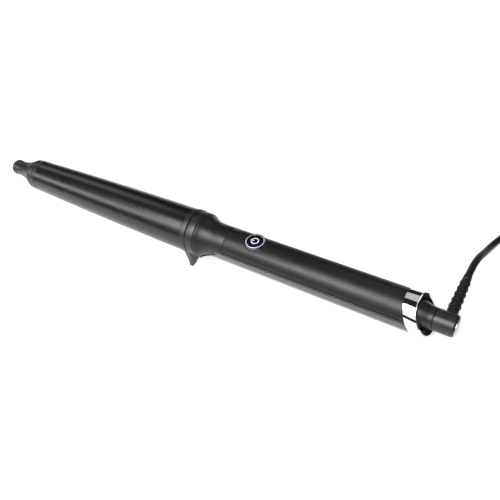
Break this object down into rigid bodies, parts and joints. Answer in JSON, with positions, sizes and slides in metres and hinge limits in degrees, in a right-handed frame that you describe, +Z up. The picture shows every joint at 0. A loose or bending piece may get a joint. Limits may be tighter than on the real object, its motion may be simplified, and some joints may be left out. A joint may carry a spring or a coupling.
{
  "type": "curling iron",
  "caption": "Tapered curling wand with a cool tip, a footed collar, a two-shell handle with a push button, a bright end ring and a swivelling mains cord.",
  "frame": {"origin": "on the table, under the middle of the wand's length, as it lies on its two feet and its end ring", "axes": "+Z up, +X along the wand from the cool tip to the swivel, +Y to the side where the cord leaves the swivel"},
  "size_m": [0.4195, 0.1115, 0.0389],
  "materials": {
    "satin_black": "satin moulded heat-resistant plastic",
    "soft_black": "soft-touch matte coating on moulded plastic",
    "gloss_black": "polished moulded plastic",
    "ceramic_coat": "smooth ceramic coating on aluminium, semi-gloss",
    "chrome_ring": "bright chrome plating",
    "light_guide": "clear light guide, lit white",
    "cord_rubber": "matte black flexible cord sheath",
    "plug_black": "satin moulded plug",
    "tie_fabric": "woven nylon strap",
    "heater_aluminium": "extruded aluminium, mill finish",
    "white_ceramic": "fired ceramic",
    "white_sleeve": "silicone sleeve",
    "heat_resin": "glass-filled heat-resistant resin",
    "grey_plastic": "moulded component body",
    "board_green": "lacquered circuit board",
    "bright_steel": "bright steel",
    "brass_part": "turned brass"
  },
  "bodies": {
    "wand": {"cool_tip": "satin_black", "barrel": "ceramic_coat", "heater_upper": "heater_aluminium", "heater_lower": "heater_aluminium", "heating_elements": "white_ceramic", "thermistor": "white_ceramic", "thermal_fuse": "bright_steel", "heater_leads": "white_sleeve", "barrel_socket": "heat_resin", "foot_collar": "satin_black", "collar_band": "satin_black", "neck": "soft_black", "handle_upper": "soft_black", "handle_lower": "gloss_black", "button_bezel": "gloss_black", "light_ring": "light_guide", "tact_switch": "grey_plastic", "ring_leds": "light_guide", "circuit_board": "board_green", "board_screws": "bright_steel", "capacitor": "grey_plastic", "triac": "grey_plastic", "terminal_block": "board_green", "mains_leads": "cord_rubber", "end_ring": "chrome_ring", "swivel_cone": "satin_black", "swivel_bush": "brass_part", "contact_pins": "brass_part", "contact_holder": "heat_resin"},
    "button": {"power_button": "gloss_black", "power_mark": "light_guide", "switch_plunger": "grey_plastic"},
    "swivel": {"swivel_body": "satin_black", "swivel_disc": "chrome_ring", "spindle": "bright_steel", "spindle_retainer": "bright_steel", "slip_ring_drum": "heat_resin", "slip_rings": "brass_part", "strain_relief": "cord_rubber", "cord_lead": "cord_rubber", "cord_coil": "cord_rubber", "cord_tail": "cord_rubber", "cord_tie": "tie_fabric", "plug_boot": "cord_rubber", "plug_body": "plug_black", "plug_pins": "bright_steel"}
  },
  "joints": [
    {"name": "button_press", "type": "slide", "parent": "wand", "child": "button", "axis": [-0.0525, 0, -0.9986], "range_m": [0, 0.0006], "stiffness_N_per_m": 800},
    {"name": "cord_swivel", "type": "hinge", "parent": "wand", "child": "swivel", "pos_m": [0.16001, 0, 0.012], "axis": [0.9986, 0, -0.0525], "continuous": true}
  ]
}
